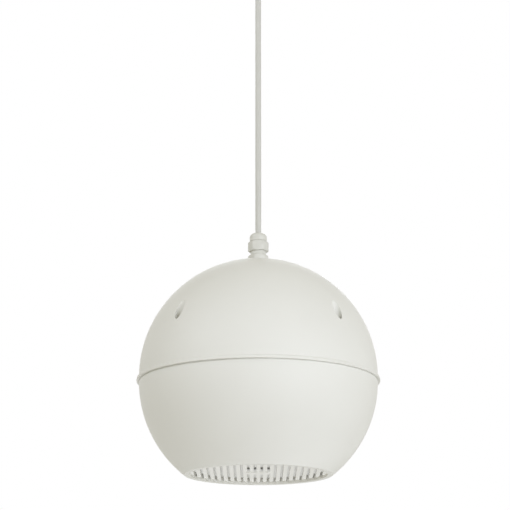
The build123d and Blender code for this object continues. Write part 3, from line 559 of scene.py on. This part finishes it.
def build_lines(group, enter):
    """Even ridges along one coordinate, from 0 to 1."""
    turns = worked_out(group, "DIVIDE", enter.outputs["Along"], enter.outputs["Pitch"])
    wave = worked_out(group, "SINE", worked_out(group, "MULTIPLY", turns, 2 * math.pi))
    return worked_out(group, "MULTIPLY_ADD", wave, 0.5, 0.5)


even_lines = effect_group("even_lines", "Along", ["Pitch"], build_lines)


def lined(name, groove_shade_colour, ridge_colour, rough, metal, axis, pitch, depth):
    """Material with fine lines across one axis, such as wire turns, sheets of iron or tape edges, with
    painted shade in the grooves between them.
    """
    made, tree, shader, place = surface(name, groove_shade_colour, rough, metal, clouds=90.0, drift=0.08)
    split = tree.nodes.new("ShaderNodeSeparateXYZ")
    tree.links.new(place, split.inputs[0])
    lines = effect(tree, even_lines, split.outputs[axis], "Pitch", pitch)
    # Painted shade: the darker groove colour stays between the lines, and the ridge colour lies on them.
    tint(tree, shader, lines, ridge_colour)
    relief(tree, shader, lines, depth)
    return made


cone_paper = surface(
    "cone_paper", (0.055, 0.053, 0.05), 0.88, grain=420.0, bite=0.00015, clouds=130.0, drift=0.3
)[0]
surround_rubber = surface(
    "surround_rubber", (0.02, 0.02, 0.02), 0.5, grain=600.0, bite=0.00001, drift=0.2
)[0]
# Its second colour is painted shade in the gaps between the threads.
spider_cloth = woven(
    "spider_cloth", (0.52, 0.34, 0.12), (0.3, 0.18, 0.06), 0.7, pitch=0.0007, depth=0.00012
)
former_foil = plated("former_foil", (0.78, 0.79, 0.80), 0.25, crystals=1500.0)
# The groove colour is painted shade between the wire turns.
coil_copper = lined(
    "coil_copper",
    groove_shade_colour=(0.3, 0.1, 0.04),
    ridge_colour=(0.72, 0.33, 0.16),
    rough=0.3,
    metal=1.0,
    axis="Z",
    pitch=0.0002,
    depth=0.00008,
)
dress(cone_paper, "cone", "dust_cap")
dress(surround_rubber, "surround")
dress(spider_cloth, "spider")
dress(former_foil, "voice_coil_former")
dress(coil_copper, "voice_coil")

# Magnet system: a ring of sintered ferrite between a plated steel plate and a plated yoke with its
# pole. The three are glued, and the top plate is riveted to the basket.
ferrite = surface("magnet_ferrite", (0.065, 0.065, 0.07), 0.6, grain=500.0, bite=0.00005, drift=0.2)[0]
dress(ferrite, "magnet")
dress(zinc, "top_plate", "yoke")

# Line transformer: a stack of iron sheets under a steel strap, with a taped winding on a nylon
# bobbin. The strap is screwed to two posts inside the ball's top.
# The groove colour is painted shade between the iron sheets.
core_iron = lined(
    "core_iron",
    groove_shade_colour=(0.07, 0.065, 0.06),
    ridge_colour=(0.2, 0.2, 0.21),
    rough=0.5,
    metal=0.8,
    axis="Y",
    pitch=0.0005,
    depth=0.0001,
)
# The groove colour is painted shade at the tape edges.
winding_tape = lined(
    "winding_tape",
    groove_shade_colour=(0.6, 0.4, 0.06),
    ridge_colour=(0.76, 0.55, 0.1),
    rough=0.28,
    metal=0.0,
    axis="Z",
    pitch=0.006,
    depth=0.00005,
)
dress(core_iron, "transformer_core")
dress(terminal_nylon, "transformer_bobbin")
dress(winding_tape, "transformer_winding")
dress(zinc, "transformer_bracket", "transformer_screws")

# Stage: a pale floor far below, a white room behind, and soft lamps around the front, the brightest
# of them at the right, where the ball's own shading shows them to be. Two more stand behind, and the
# lower of these lights the grille.
floor_size = 90.0
floor_z = -2.4
floor_colour = (0.9, 0.9, 0.9)
floor_lift = 0.58
floor_lift_tint = (0.93, 0.95, 1.0)
bpy.ops.object.select_all(action="DESELECT")
bpy.ops.mesh.primitive_plane_add(size=floor_size, location=(0, 0, floor_z))
floor = bpy.context.object
floor.name = "floor"
floor_paint = bpy.data.materials.new("floor_paint")
floor_paint.use_nodes = True
floor_tree = floor_paint.node_tree
floor_shader = floor_tree.nodes["Principled BSDF"]
floor_shader.inputs["Base Color"].default_value = (*floor_colour, 1)
floor_shader.inputs["Roughness"].default_value = 0.9
floor_shader.inputs["Emission Color"].default_value = (*floor_lift_tint, 1)
floor_paths = floor_tree.nodes.new("ShaderNodeLightPath")
floor_glow = worked_out(floor_tree, "MULTIPLY", floor_paths.outputs["Is Camera Ray"], floor_lift)
floor_tree.links.new(floor_glow, floor_shader.inputs["Emission Strength"])
floor.data.materials.append(floor_paint)

room_tint = (0.41, 0.388, 0.298)
room_backdrop = (1, 1, 1)
room = bpy.data.worlds.new("room")
scene.world = room
room.use_nodes = True
room_tree = room.node_tree
room_tree.nodes.clear()
paths = room_tree.nodes.new("ShaderNodeLightPath")
in_view = worked_out(room_tree, "MAXIMUM", paths.outputs["Is Camera Ray"], paths.outputs["Is Glossy Ray"])
seen = worked_out(room_tree, "MAXIMUM", in_view, paths.outputs["Is Transmission Ray"])
room_light = room_tree.nodes.new("ShaderNodeBackground")
room_light.inputs["Color"].default_value = (*room_tint, 1)
room_white = room_tree.nodes.new("ShaderNodeBackground")
room_white.inputs["Color"].default_value = (*room_backdrop, 1)
room_mix = room_tree.nodes.new("ShaderNodeMixShader")
room_out = room_tree.nodes.new("ShaderNodeOutputWorld")
room_tree.links.new(seen, room_mix.inputs["Fac"])
room_tree.links.new(room_light.outputs["Background"], room_mix.inputs[1])
room_tree.links.new(room_white.outputs["Background"], room_mix.inputs[2])
room_tree.links.new(room_mix.outputs["Shader"], room_out.inputs["Surface"])

# Each lamp has a name, its azimuth to the right of the front and its height above the level, both in
# degrees, and its watts.
ball_centre = Vector((0, 0, -0.378))
lamp_distance = 1.9
lamp_d = 1.2
lamp_tint = (0.85, 0.89, 1.0)
lamps = [
    ("key_lamp", 30, 0, 14.8),
    ("right_lamp", 60, 0, 7.2),
    ("left_lamp", -60, 30, 10.2),
    ("low_lamp", -30, -40, 2.6),
    ("under_lamp", 180, -60, 11.0),
    ("back_lamp", 180, 25, 9.0),
]
for lamp_name, azimuth, elevation, power in lamps:
    lamp_data = bpy.data.lights.new(lamp_name, "AREA")
    lamp_data.shape = "DISK"
    lamp_data.size = lamp_d
    lamp_data.energy = power
    lamp_data.color = lamp_tint
    lamp = bpy.data.objects.new(lamp_name, lamp_data)
    lamp.visible_camera = False
    turn, rise = math.radians(azimuth), math.radians(elevation)
    away = Vector((math.sin(turn) * math.cos(rise), -math.cos(turn) * math.cos(rise), math.sin(rise)))
    lamp.location = ball_centre + lamp_distance * away
    lamp.rotation_euler = away.to_track_quat("Z", "Y").to_euler()
    scene.collection.objects.link(lamp)

scene.view_settings.view_transform = "Standard"

bpy.context.view_layer.update()
